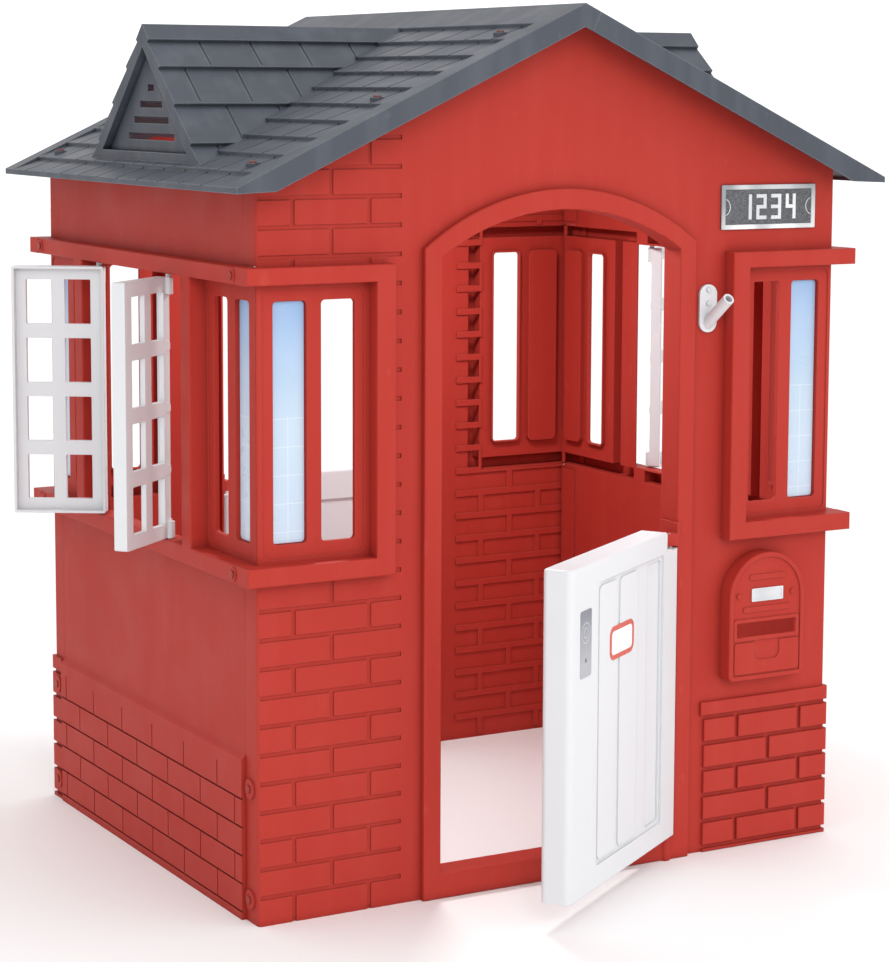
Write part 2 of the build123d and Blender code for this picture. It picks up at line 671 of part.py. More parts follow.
def plain_roof_half():
    """Left roof half without its ridge cap: shingles, fascias and the dormer shell."""
    front = -GABLE_OUT
    back = DEPTH + GABLE_OUT
    half = slab(roof_section(), front + RAKE_BAND, back - RAKE_BAND) - shingle_gaps()
    half += slab(rake_section(UNDER_ROOF), front, front + RAKE_BAND)
    half += slab(rake_section(UNDER_ROOF), back - RAKE_BAND, back)
    half += slab(rake_section(FASCIA), front, front + ROOF_SHEET)
    half += slab(rake_section(FASCIA), back - ROOF_SHEET, back)
    dormer = rail(tiled_dormer_section(), -HALF, -SHINGLE_FROM) & roof_side(-SHINGLE_STEP - 2)
    half += dormer - dormer_gaps()
    cavity = rail(dormer_section(ROOF_SHEET + DORMER_STEP), ROOF_SHEET - HALF, -2 * SHINGLE_FROM)
    half -= cavity & roof_side(-30)
    recess_end = ROOF_SHEET + VENT_DEPTH + SHEET - HALF
    half += rail(vent_outline(-ROOF_SHEET), -HALF, recess_end)
    half -= rail(vent_outline(0), -HALF - 1, recess_end + 1)
    pads = [rod(-x, y, roof_z(x) - UNDER_ROOF, roof_z(x) + 1, 10) for x, y in roof_screw_places()]
    holes = [rod(-x, y, roof_z(x) - 40, roof_z(x) + 10, SCREW_HOLE) for x, y in roof_screw_places()]
    half += pads
    half -= holes
    return half


def roof_screw_places():
    """Distance from the ridge and depth of each roof screw of one half."""
    return [(x, y) for x in ROOF_SCREW_X for y in (ROOF_SCREW_IN, DEPTH - ROOF_SCREW_IN)]


def ridge_lap(play):
    """Cap and fascia ends of the left half that lie over the right half, with play round them."""
    deep = ROOF_SHEET + play
    cap = CAP_LAP + play
    low = FASCIA_LAP + play
    strip = polygon((0, RIDGE_Z + play), (cap, roof_z(cap) + play), (cap, roof_z(cap) - deep),
                    (0, RIDGE_Z - deep))
    lip = polygon((0, RIDGE_Z + play), (cap, roof_z(cap) + play), (low, roof_z(low) - FASCIA - play),
                  (0, RIDGE_Z - FASCIA - play))
    front = -GABLE_OUT
    back = DEPTH + GABLE_OUT
    lap = slab(strip, front - play, back + play)
    lap += slab(lip, front - play, front + deep)
    return lap + slab(lip, back - deep, back + play)


def vent_panel():
    """Louvred panel at the back of the left dormer's recess."""
    x0 = ROOF_SHEET + VENT_DEPTH - HALF
    panel = rail(vent_outline(0.2), x0, x0 + SHEET)
    for z, half in VENT_SLOTS:
        panel -= block(x0 - 1, x0 + SHEET + 1, SIDE_HALF - half, SIDE_HALF + half, z - 5, z + 5)
        slat = Pos(x0 + SHEET + 3, SIDE_HALF, z + 5) * Rot(0, 35, 0) * Box(16, 2 * half + 4, 2.5)
        panel += slat - block(x0 - 20, x0, 0, DEPTH, z - 30, z + 30)
    return panel


# ---------------------------------------------------------------- door
def door_leaf():
    """Hollow half door in its closed place."""
    free, hinged = LEAF_X
    front, back = LEAF_Y
    low, high = LEAF_Z
    step_x, step_z = LEAF_STEP
    outline = polygon((free, low), (hinged, low), (hinged, step_z), (step_x, step_z), (step_x, high),
                      (free, high))
    leaf = slab(outline, front, back)
    ends = leaf.edges().filter_by(Axis.Z).filter_by(lambda e: abs(e.center().X - step_x) > 1)
    leaf = fillet(ends, LEAF_ROUND)
    leaf = fillet(leaf.edges().filter_by(Axis.X).group_by(Axis.Z)[-1], 4)
    panel_low, panel_high = LEAF_PANEL_Z
    leaf -= slab(rect(*LEAF_PANEL_X, panel_low, panel_high, 6), front - 1, front + 3)
    leaf -= slab(rect(*LEAF_BAND_X, panel_low + 6, panel_high - 6, 6), front - 1, front + 6)
    for x0, x1 in LEAF_FLUTES:
        leaf += slab(rect(x0, x1, panel_low + 6, panel_high - 6, 10), front + 1, front + 4)
    leaf -= slab(rect(-152.5, 127.5, 85, 455, 8), back - 3, back + 1)
    leaf -= block(free + LEAF_WALL, step_x - LEAF_WALL, front + 6 + LEAF_WALL, back - 3 - LEAF_WALL,
                  low + LEAF_WALL, high - 4 - LEAF_WALL)
    leaf -= rod(free + 40, (front + back) / 2, low - 1, low + LEAF_WALL + 1, 3)
    leaf += rod(*DOOR_PIN, PIN_FOOT + 2, low + 1, DOOR_PIN_RADIUS)
    leaf += rod(*DOOR_PIN, step_z - 1, BRACKET_Z[1] - 1, DOOR_PIN_RADIUS)
    return leaf


def door_bracket():
    """Bracket on the jamb that holds the door's upper pin."""
    x, y = DOOR_PIN
    jamb = DOOR_MID + DOOR_HALF
    front = y - DOOR_BEARING
    eye = block(x, jamb, front, y + 12, *BRACKET_Z) + rod(x, y, *BRACKET_Z, 13)
    eye &= block(x - 20, jamb, front, y + 20, *BRACKET_Z)
    plate = block(jamb - SHEET, jamb, front, REVEAL - SHEET, BRACKET_Z[0], BRACKET_Z[1] + 16)
    return eye + plate - rod(x, y, BRACKET_Z[0] - 1, BRACKET_Z[1] + 1, DOOR_PIN_RADIUS + PIN_PLAY)


def swing_door(part):
    """Turn a piece of the door from its closed place to its stored place."""
    x, y = DOOR_PIN
    return Pos(x, y, 0) * Rot(0, 0, DOOR_OPEN) * Pos(-x, -y, 0) * part


# ---------------------------------------------------------------- shutters
def shutter():
    """Shutter on the right of a side window seen from outside, closed, its hinge on the right."""
    right = PIN_FROM_MIDDLE + SHUTTER_PAST_PIN
    left = SHUTTER_GAP
    low, high = SHUTTER_Z
    face, inside = SHUTTER_Y
    pane_wide = (right - left - FREE_STILE - HINGE_STILE - MULLION) / 2
    pane_high = (high - low - 2 * SHUTTER_RAIL - 3 * MUNTIN) / 4
    panes = Sketch()
    for column in range(2):
        x = left + FREE_STILE + column * (pane_wide + MULLION)
        for row in range(4):
            z = low + SHUTTER_RAIL + row * (pane_high + MUNTIN)
            panes += rect(x, x + pane_wide, z, z + pane_high, 1.5)
    outline = rect(left, right, low, high, 3)
    rim = outline - rect(left + SHUTTER_RIM, right - SHUTTER_RIM, low + SHUTTER_RIM, high - SHUTTER_RIM)
    leaf = slab(outline, face, face + SHUTTER_PLATE) + slab(rim, face, inside)
    leaf -= slab(panes, face - 1, face + SHUTTER_PLATE + 1)
    leaf -= slab(rect(right - 14, right + 1, low + 26, high - 26), face - 1, face + 2)
    for row in range(3):
        z = low + SHUTTER_RAIL + (row + 1) * pane_high + (row + 0.5) * MUNTIN
        leaf += slab(rect(right - HINGE_STILE, right - 2, z - 7, z + 7, 5), face, face + 4)
    for start, end in ((low, low + 24), (high - 24, high)):
        leaf += rod(PIN_FROM_MIDDLE, -PIN_OUT, start, end, PIN_RADIUS + 2.5)
    leaf += rod(PIN_FROM_MIDDLE, -PIN_OUT, SILL_Z[1] - PIN_DEPTH + 1, low + 2, PIN_RADIUS)
    leaf += rod(PIN_FROM_MIDDLE, -PIN_OUT, high - 2, HEADER_Z[0] + PIN_DEPTH - 1, PIN_RADIUS)
    return leaf


def swing_shutter(part, angle):
    """Turn the right-hand shutter open about its pins."""
    return Pos(PIN_FROM_MIDDLE, -PIN_OUT, 0) * Rot(0, 0, angle) * Pos(-PIN_FROM_MIDDLE, PIN_OUT, 0) * part


# ---------------------------------------------------------------- small fittings
def flag_holder():
    """Wall plate with a slanted tube for a flag pole."""
    plate = slab(rect(FLAG_X - FLAG_HALF, FLAG_X + FLAG_HALF, *FLAG_Z, FLAG_HALF - 0.5), -4, 0)
    along = Pos(FLAG_X, 0, FLAG_ROOT_Z) * Rot(90 - FLAG_ANGLE, 0, 0)
    tube = along * Pos(0, 0, FLAG_TUBE_LENGTH / 2) * Cylinder(FLAG_TUBE, FLAG_TUBE_LENGTH + 30)
    outside = block(FLAG_X - 30, FLAG_X + 30, -100, -1, FLAG_Z[0] - 20, FLAG_Z[1] + 80)
    bottom = along * Pos(0, 0, FLAG_TUBE_LENGTH + 10) * Box(60, 60, 20)
    holder = plate + (tube & outside) - bottom
    holder -= along * Pos(0, 0, FLAG_TUBE_LENGTH - FLAG_BORE_DEPTH / 2) * Cylinder(FLAG_BORE, FLAG_BORE_DEPTH)
    for z in FLAG_SCREW_Z:
        holder -= bolt_rod(FLAG_X, -5, z, SCREW_HOLE, 6)
    return holder


def flag_screws():
    """Screws of the flag holder."""
    return [bolt_rod(FLAG_X, -5, z, SCREW_SHANK, 9) + bolt_rod(FLAG_X, -6, z, 4, 2) for z in FLAG_SCREW_Z]


def number_plate():
    """House number plate with a raised frame."""
    field = rect(PLATE_X[0] + 7, PLATE_X[1] - 7, PLATE_Z[0] + 7, PLATE_Z[1] - 7)
    return slab(rect(*PLATE_X, *PLATE_Z, 2), -3, 0) - slab(field, -4, -1.5)


def number_digits():
    """Generic house number standing on the plate's field, in plain block figures."""
    bars = {
        "top": ((0, 1), (1, 1)), "middle": ((0, 0.5), (1, 0.5)), "foot": ((0, 0), (1, 0)),
        "upper_left": ((0, 0.5), (0, 1)), "upper_right": ((1, 0.5), (1, 1)),
        "lower_left": ((0, 0), (0, 0.5)), "lower_right": ((1, 0), (1, 0.5)),
    }
    figures = (
        ("upper_right", "lower_right"),
        ("top", "upper_right", "middle", "lower_left", "foot"),
        ("top", "upper_right", "middle", "lower_right", "foot"),
        ("upper_left", "upper_right", "middle", "lower_right"),
    )
    left = sum(PLATE_X) / 2 - 2 * DIGIT_PITCH + (DIGIT_PITCH - DIGIT_WIDTH) / 2
    foot = (sum(PLATE_Z) - DIGIT_HEIGHT) / 2
    half = DIGIT_STROKE / 2
    digits = []
    for place, names in enumerate(figures):
        figure = Sketch()
        for name in names:
            (x0, z0), (x1, z1) = bars[name]
            x = left + place * DIGIT_PITCH
            figure += rect(x + x0 * DIGIT_WIDTH - half, x + x1 * DIGIT_WIDTH + half,
                           foot + z0 * DIGIT_HEIGHT - half, foot + z1 * DIGIT_HEIGHT + half)
        digits.append(slab(figure, -3, -1.5))
    return digits


def nameplate():
    """Blank name plate of the mailbox."""
    plate = slab(rect(MAIL_X - 29, MAIL_X + 29, 384, 404, 1.5), -MAIL_OUT, 2 - MAIL_OUT)
    return plate - slab(rect(MAIL_X - 26, MAIL_X + 26, 387, 401), -MAIL_OUT - 1, 1 - MAIL_OUT)


def corner_screws(side, back):
    """Four screws that join one corner of the house, through its returns and its trim."""
    padded = (side > 0) != back
    heads = [(HALF + BOSS_HEIGHT + (PAD if padded else 0), SCREW_FROM_CORNER, z) for z in SCREW_Z]
    heads += [(HALF + TRIM_OUT + 1.5, TRIM_SCREW_Y, (low + high) / 2) for low, high in (SILL_Z, HEADER_Z)]
    screws = []
    for x, inward, z in heads:
        y = DEPTH - inward if back else inward
        long = 12.0 if inward == TRIM_SCREW_Y else x - HALF + 9
        head = Pos(side * (x + 1), y, z) * Rot(0, 90, 0) * Cylinder(SCREW_HEAD, 2)
        shank = Pos(side * (x + 1 - long / 2), y, z) * Rot(0, 90, 0) * Cylinder(SCREW_SHANK, long)
        screws.append(head + shank)
    return screws


def roof_screws(back):
    """Screws that hold both roof halves down on one gable wall."""
    screws = []
    y = DEPTH - ROOF_SCREW_IN if back else ROOF_SCREW_IN
    for x in ROOF_SCREW_X:
        z = roof_z(x) + 1
        for side in (-1, 1):
            screws.append(rod(side * x, y, z - 30, z + 1, SCREW_SHANK) + rod(side * x, y, z, z + 2.5, SCREW_HEAD))
    return screws


# ---------------------------------------------------------------- every piece in its place
BACK = Pos(0, DEPTH, 0) * Rot(0, 0, 180)
LEFT = Pos(-HALF, SIDE_HALF, 0) * Rot(0, 0, -90)
RIGHT = Pos(HALF, SIDE_HALF, 0) * Rot(0, 0, 90)

side = side_wall()
save(gable_wall(True), "front_wall")
save(BACK * gable_wall(False), "back_wall")
save(LEFT * side, "left_wall")
save(RIGHT * side, "right_wall")

half = plain_roof_half()
save(half + ridge_lap(0), "roof_left")
save(mirror(half, Plane.YZ) - ridge_lap(0.3), "roof_right")
vent = vent_panel()
save(vent, "gable_vent_left")
save(mirror(vent, Plane.YZ), "gable_vent_right")
save(roof_screws(False), "roof_screws_front")
save(roof_screws(True), "roof_screws_back")
for name, side_sign, back in (("front_left", -1, False), ("front_right", 1, False),
                              ("back_left", -1, True), ("back_right", 1, True)):
    save(corner_screws(side_sign, back), "corner_screws_" + name)

front_panes = [pane(-1, HALF, FRONT_WINDOW), pane(1, HALF, FRONT_WINDOW)]
side_panes = [pane(-1, SIDE_HALF, SIDE_WINDOW), pane(1, SIDE_HALF, SIDE_WINDOW)]
save(front_panes[0], "pane_front_left")
save(front_panes[1], "pane_front_right")
save(BACK * front_panes[0], "pane_back_right")
save(BACK * front_panes[1], "pane_back_left")
save(LEFT * side_panes[0], "pane_left_back")
save(LEFT * side_panes[1], "pane_left_front")
save(RIGHT * side_panes[0], "pane_right_front")
save(RIGHT * side_panes[1], "pane_right_back")

save(nameplate(), "mailbox_nameplate")
save(number_plate(), "number_plate")
save(number_digits(), "number_digits")
save(flag_holder(), "flag_holder")
save(flag_screws(), "flag_holder_screws")

leaf = door_leaf()
bracket = door_bracket()
save(swing_door(leaf), "door")
save(bracket, "door_hinge_bracket")
save(BACK * leaf, "back_door")
save(BACK * bracket, "back_door_hinge_bracket")
lock = slab(rect(-169.5, -131.5, 350, 444, 4), LEAF_Y[0] - 0.5, LEAF_Y[0])
save(swing_door(lock), "door_lock_label")
badge = slab(rect(-63.5, 23.5, 354, 402, 14), LEAF_Y[0] + 0.5, LEAF_Y[0] + 1)
save(swing_door(badge), "door_badge")

front_leaf = swing_shutter(shutter(), FRONT_SHUTTER_OPEN)
back_leaf = swing_shutter(shutter(), BACK_SHUTTER_OPEN)
save(LEFT * front_leaf, "shutter_left_front")
save(LEFT * mirror(back_leaf, Plane.YZ), "shutter_left_back")
save(RIGHT * mirror(front_leaf, Plane.YZ), "shutter_right_front")
save(RIGHT * back_leaf, "shutter_right_back")
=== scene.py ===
import math

import bpy
from mathutils import Matrix, Vector


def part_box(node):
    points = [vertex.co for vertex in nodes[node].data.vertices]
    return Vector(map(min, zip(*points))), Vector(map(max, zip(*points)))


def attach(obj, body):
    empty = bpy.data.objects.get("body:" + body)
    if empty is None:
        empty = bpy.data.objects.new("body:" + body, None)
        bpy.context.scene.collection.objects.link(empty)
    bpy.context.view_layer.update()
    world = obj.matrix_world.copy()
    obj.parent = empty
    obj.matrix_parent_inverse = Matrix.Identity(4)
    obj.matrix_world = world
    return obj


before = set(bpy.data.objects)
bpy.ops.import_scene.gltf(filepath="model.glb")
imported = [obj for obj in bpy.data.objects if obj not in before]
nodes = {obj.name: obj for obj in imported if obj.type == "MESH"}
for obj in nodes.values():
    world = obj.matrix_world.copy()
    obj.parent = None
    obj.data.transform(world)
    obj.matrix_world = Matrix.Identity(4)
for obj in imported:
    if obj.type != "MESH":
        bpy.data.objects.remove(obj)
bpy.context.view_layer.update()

MM = 0.001

# Camera: metres, radians, and the lens in millimetres.
CAMERA_PLACE = (-1.949, -3.114, 1.151)
CAMERA_YAW = 0.5133
CAMERA_PITCH = 0.1151
CAMERA_ROLL = 0.0039
CAMERA_LENS = 96.12
CAMERA_SHIFT = -0.0998

# Studio: sky strength on its dim left and on its bright side, and half the floor's width.
SKY_DIM = 0.62
SKY_BRIGHT = 1.25
FLOOR_HALF = 20.0

# Raised arcs at the ends of the number plate's field.
ARC_RADIUS = 13 * MM
ARC_BEAD = 0.7 * MM
ARC_INSET = 7.5 * MM
ARC_BOW = 4 * MM
ARC_DEPTH = 1.5 * MM
ARC_HALF_ANGLE = 68
ARC_STEPS = 16


# ---------------------------------------------------------------- shader helpers
def new_material(name):
    """A node material and its main shader."""
    material = bpy.data.materials.new(name)
    material.use_nodes = True
    tree = material.node_tree
    tree.nodes.clear()
    output = tree.nodes.new("ShaderNodeOutputMaterial")
    shader = tree.nodes.new("ShaderNodeBsdfPrincipled")
    tree.links.new(shader.outputs[0], output.inputs[0])
    return material, tree, shader


def add(tree, kind, **settings):
    """Add a node; settings are its attributes."""
    node = tree.nodes.new(kind)
    for key, value in settings.items():
        setattr(node, key, value)
    return node


def put(tree, value, socket):
    """Link or set a socket from a socket, a number or a colour."""
    if hasattr(value, "is_linked"):
        tree.links.new(value, socket)
    elif isinstance(value, (int, float)):
        socket.default_value = value
    else:
        socket.default_value = (*value, 1)


def calc(tree, operation, first, second=0.0, clamp=False):
    """One step of arithmetic."""
    node = add(tree, "ShaderNodeMath", operation=operation, use_clamp=clamp)
    put(tree, first, node.inputs[0])
    put(tree, second, node.inputs[1])
    return node.outputs[0]


def place(tree, kind):
    """The three coordinates of the shaded point; Object ones are the row frame's metres."""
    coords = add(tree, "ShaderNodeTexCoord")
    split = add(tree, "ShaderNodeSeparateXYZ")
    tree.links.new(coords.outputs[kind], split.inputs[0])
    return split.outputs


def noise(tree, scale, detail=3.0, stretch=(1, 1, 1)):
    """Noise over the row frame; scale is in waves per metre."""
    coords = add(tree, "ShaderNodeTexCoord")
    mapping = add(tree, "ShaderNodeMapping")
    mapping.inputs["Scale"].default_value = stretch
    texture = add(tree, "ShaderNodeTexNoise")
    texture.inputs["Scale"].default_value = scale
    texture.inputs["Detail"].default_value = detail
    tree.links.new(coords.outputs["Object"], mapping.inputs[0])
    tree.links.new(mapping.outputs[0], texture.inputs["Vector"])
    return texture.outputs["Fac"]


def spread(tree, source, low, high, to_low=0.0, to_high=1.0):
    """Map a range of values to another, clamped."""
    node = add(tree, "ShaderNodeMapRange")
    limits = {"From Min": low, "From Max": high, "To Min": to_low, "To Max": to_high}
    for key, value in limits.items():
        node.inputs[key].default_value = value
    tree.links.new(source, node.inputs["Value"])
    return node.outputs[0]


def mix(tree, factor, first, second):
    """Blend two colours."""
    node = add(tree, "ShaderNodeMix", data_type="RGBA")
    put(tree, factor, node.inputs[0])
    put(tree, first, node.inputs[6])
    put(tree, second, node.inputs[7])
    return node.outputs[2]


def bump(tree, shader, height, strength, distance):
    """Chain a bump onto the shader's normal."""
    node = add(tree, "ShaderNodeBump")
    node.inputs["Strength"].default_value = strength
    node.inputs["Distance"].default_value = distance
    tree.links.new(height, node.inputs["Height"])
    normal = shader.inputs["Normal"]
    if normal.is_linked:
        tree.links.new(normal.links[0].from_socket, node.inputs["Normal"])
    tree.links.new(node.outputs[0], normal)


def hollows(tree, distance, low, high):
    """0 in grooves and corners, 1 on open faces."""
    node = add(tree, "ShaderNodeAmbientOcclusion", samples=4)
    node.inputs["Distance"].default_value = distance
    return spread(tree, node.outputs["AO"], low, high)


def soft_edges(tree, shader, radius):
    """Shade edges as if rounded; returns a mask of the outward ones."""
    rounded = add(tree, "ShaderNodeBevel", samples=4)
    rounded.inputs["Radius"].default_value = radius
    tree.links.new(rounded.outputs[0], shader.inputs["Normal"])
    geometry = add(tree, "ShaderNodeNewGeometry")
    along = add(tree, "ShaderNodeVectorMath", operation="DOT_PRODUCT")
    tree.links.new(rounded.outputs[0], along.inputs[0])
    tree.links.new(geometry.outputs["Normal"], along.inputs[1])
    edge = spread(tree, along.outputs["Value"], 0.995, 0.85)
    return calc(tree, "MULTIPLY", edge, hollows(tree, 6 * MM, 0.55, 0.8))


# ---------------------------------------------------------------- materials
def moulded(name, base, worn_and_highlight, shade, rough=0.42, grain=0.06, streak=0.06, groove_painted_shade=0.5,
            radius=1.5 * MM, edge_wear_and_highlight=0.45, gloss=0.15, groove=14 * MM):
    """Moulded plastic: clouding, upright streaks, specks, scuffs, paler rubbed edges that are partly painted
    highlight, and painted shade in grooves.

    rough is the middle roughness, and grain the strength of the fine bump. streak, dirt and rub are the
    shares of streaks, of painted shade in grooves, and of paler edges that are part wear and part painted
    highlight. radius rounds the edges;
    groove is the width of a gap that gets painted shade.
    """
    material, tree, shader = new_material(name)
    edges = soft_edges(tree, shader, radius)
    clouds = spread(tree, noise(tree, 2.2, 4.0), 0.3, 0.7, 0.0, 0.3)
    streaks = spread(tree, noise(tree, 30.0, 2.0, (1, 1, 0.12)), 0.45, 0.75, 0.0, streak)
    specks = spread(tree, noise(tree, 800.0, 1.0), 0.62, 0.8, 0.0, 0.15)
    scuffs = spread(tree, noise(tree, 55.0, 5.0, (1, 1, 0.5)), 0.66, 0.74, 0.0, 0.12)
    # Painted shade: grooves, gaps and corners found by ambient occlusion are darkened towards a darker tone
    # of the plastic.
    groove_shade_mask = calc(tree, "SUBTRACT", 1.0, hollows(tree, groove, 0.25, 0.95))
    groove_shade_colour = tuple(0.45 * part for part in shade)
    colour = mix(tree, clouds, base, shade)
    colour = mix(tree, streaks, colour, worn_and_highlight)
    colour = mix(tree, specks, colour, shade)
    colour = mix(tree, scuffs, colour, worn_and_highlight)
    # Paler convex edges: partly edge wear, partly a painted highlight.
    colour = mix(tree, calc(tree, "MULTIPLY", edges, edge_wear_and_highlight), colour, worn_and_highlight)
    # Mix the painted shade into the grooves.
    colour = mix(tree, calc(tree, "MULTIPLY", groove_shade_mask, groove_painted_shade), colour, groove_shade_colour)
    tree.links.new(colour, shader.inputs["Base Color"])
    tree.links.new(spread(tree, noise(tree, 14.0, 4.0), 0.3, 0.7, rough - 0.05, rough + 0.07),
                   shader.inputs["Roughness"])
    bump(tree, shader, noise(tree, 650.0, 2.0), grain, 0.4 * MM)
    bump(tree, shader, noise(tree, 7.0, 2.0), 0.05, 4 * MM)
    shader.inputs["IOR"].default_value = 1.5
    shader.inputs["Specular IOR Level"].default_value = gloss
    return material


def window_label(name, across, top, middle, foot):
    """Printed sky that fades downwards, with pale glazing bars over its lower half.

    Bar sizes are shares of the label's width or height.
    """
    upright_half = 0.014
    row_pitch = 0.118
    row_start = 0.075
    row_width = 0.004
    bars_top = 0.525
    bar_strength = 0.3
    material, tree, shader = new_material(name)
    here = place(tree, "Generated")
    height = here["Z"]
    sky = mix(tree, spread(tree, height, 1.0, 0.5), top, middle)
    sky = mix(tree, spread(tree, height, 0.5, 0.0), sky, foot)
    haze = spread(tree, noise(tree, 9.0, 3.0), 0.35, 0.7, 0.0, 0.12)
    sky = mix(tree, haze, sky, (0.9, 0.95, 1.0))
    offset = calc(tree, "ABSOLUTE", calc(tree, "SUBTRACT", here[across], 0.5))
    upright = calc(tree, "LESS_THAN", offset, upright_half)
    row = calc(tree, "MODULO", calc(tree, "ADD", height, row_start), row_pitch)
    bars = calc(tree, "MAXIMUM", upright, calc(tree, "LESS_THAN", row, row_width))
    bars = calc(tree, "MULTIPLY", bars, calc(tree, "LESS_THAN", height, bars_top))
    printed = mix(tree, calc(tree, "MULTIPLY", bars, bar_strength), sky, (0.95, 0.97, 1.0))
    # Painted shade: the label darkens towards blue-grey near the walls of its recess.
    rim = calc(tree, "SUBTRACT", 1.0, hollows(tree, 6 * MM, 0.3, 0.9))
    tree.links.new(mix(tree, calc(tree, "MULTIPLY", rim, 0.25), printed, (0.35, 0.42, 0.55)),
                   shader.inputs["Base Color"])
    tree.links.new(spread(tree, noise(tree, 25.0, 3.0), 0.3, 0.7, 0.26, 0.36), shader.inputs["Roughness"])
    bump(tree, shader, noise(tree, 30.0, 2.0), 0.06, 1 * MM)
    return material


def brushed(name, base, shade, rough, metallic, radius):
    """Silvery moulded plastic with broad bright bands that are painted reflections, and a painted highlight
    on its edges.
    """
    material, tree, shader = new_material(name)
    edges = soft_edges(tree, shader, radius)
    # Painted reflections: broad bright and dark bands mixed into the colour.
    painted_reflection_bands = spread(tree, noise(tree, 11.0, 1.0, (1, 1, 0.4)), 0.35, 0.6)
    colour = mix(tree, painted_reflection_bands, shade, base)
    # Painted highlight: edges pushed towards near white.
    colour = mix(tree, calc(tree, "MULTIPLY", edges, 0.6), colour, (0.95, 0.95, 0.95))
    tree.links.new(colour, shader.inputs["Base Color"])
    tree.links.new(spread(tree, noise(tree, 60.0, 3.0), 0.3, 0.7, rough, rough + 0.12),
                   shader.inputs["Roughness"])
    shader.inputs["Metallic"].default_value = metallic
    bump(tree, shader, noise(tree, 900.0, 2.0), 0.1, 0.2 * MM)
    return material


def plate_finish(name, field_depth):
    """Bright frame and a speckled grey field, told apart by their depth; the frame's bright and dark bands
    are painted reflections.
    """
    material, tree, shader = new_material(name)
    soft_edges(tree, shader, 1.5 * MM)
    field = calc(tree, "GREATER_THAN", place(tree, "Object")["Y"], field_depth)
    # Painted reflections: stretched bright and dark bands across the silver frame.
    painted_reflection_bands = spread(tree, noise(tree, 14.0, 1.0, (1, 1, 0.3)), 0.38, 0.6)
    silver = mix(tree, painted_reflection_bands, (0.34, 0.35, 0.37), (0.92, 0.92, 0.93))
    speckle = spread(tree, noise(tree, 420.0, 3.0), 0.4, 0.65)
    grey = mix(tree, speckle, (0.075, 0.08, 0.088), (0.15, 0.155, 0.165))
    tree.links.new(mix(tree, field, silver, grey), shader.inputs["Base Color"])
    tree.links.new(spread(tree, field, 0.0, 1.0, 0.3, 0.55), shader.inputs["Roughness"])
    tree.links.new(spread(tree, field, 0.0, 1.0, 0.75, 0.1), shader.inputs["Metallic"])
    bump(tree, shader, noise(tree, 420.0, 3.0), 0.15, 0.3 * MM)
    return material


def badge_print(name, wide, high, corner, border):
    """White badge with rounded corners and a red-orange border; sizes in millimetres."""
    material, tree, shader = new_material(name)
    here = place(tree, "Generated")
    squares = []
    for along, length in (("X", wide), ("Z", high)):
        offset = calc(tree, "ABSOLUTE", calc(tree, "SUBTRACT", here[along], 0.5))
        past = calc(tree, "SUBTRACT", calc(tree, "MULTIPLY", offset, length), length / 2 - corner)
        squares.append(calc(tree, "POWER", calc(tree, "MAXIMUM", past, 0.0), 2.0))
    reach = calc(tree, "SQRT", calc(tree, "ADD", squares[0], squares[1]))
    rim = calc(tree, "GREATER_THAN", reach, corner - border)
    faded = spread(tree, noise(tree, 300.0, 3.0), 0.5, 0.75, 0.0, 0.25)
    orange = mix(tree, faded, (0.62, 0.085, 0.05), (0.75, 0.25, 0.18))
    tree.links.new(mix(tree, rim, (0.88, 0.88, 0.9), orange), shader.inputs["Base Color"])
    tree.links.new(spread(tree, noise(tree, 80.0, 3.0), 0.3, 0.7, 0.25, 0.4), shader.inputs["Roughness"])
    bump(tree, shader, noise(tree, 400.0, 2.0), 0.05, 0.2 * MM)
    return material


def lock_print(name, wide, high):
    """Grey printed lock, a ringed knob above a keyhole; sizes in millimetres, levels as shares."""
    knob_level = 0.66
    knob_radius = 16.0
    ring_step = 3.5
    ring_line = 0.9
    keyhole_level = 0.25
    keyhole_radius = 3.2
    material, tree, shader = new_material(name)
    here = place(tree, "Generated")
    across = calc(tree, "MULTIPLY", calc(tree, "SUBTRACT", here["X"], 0.5), wide)

    def distance_from(level):
        up = calc(tree, "MULTIPLY", calc(tree, "SUBTRACT", here["Z"], level), high)
        squares = calc(tree, "ADD", calc(tree, "POWER", across, 2.0), calc(tree, "POWER", up, 2.0))
        return calc(tree, "SQRT", squares)

    knob = distance_from(knob_level)
    rings = calc(tree, "LESS_THAN", calc(tree, "PINGPONG", knob, ring_step), ring_line)
    rings = calc(tree, "MULTIPLY", rings, calc(tree, "LESS_THAN", knob, knob_radius))
    keyhole = calc(tree, "LESS_THAN", distance_from(keyhole_level), keyhole_radius)
    sheet = mix(tree, spread(tree, here["Z"], 0.2, 0.95), (0.42, 0.43, 0.46), (0.19, 0.2, 0.24))
    sheet = mix(tree, calc(tree, "MULTIPLY", rings, 0.6), sheet, (0.6, 0.62, 0.66))
    sheet = mix(tree, keyhole, sheet, (0.1, 0.1, 0.12))
    speckle = spread(tree, noise(tree, 500.0, 2.0), 0.5, 0.7, 0.0, 0.2)
    tree.links.new(mix(tree, speckle, sheet, (0.55, 0.56, 0.6)), shader.inputs["Base Color"])
    tree.links.new(spread(tree, noise(tree, 60.0, 3.0), 0.3, 0.7, 0.28, 0.42), shader.inputs["Roughness"])
    bump(tree, shader, noise(tree, 400.0, 2.0), 0.05, 0.2 * MM)
    return material


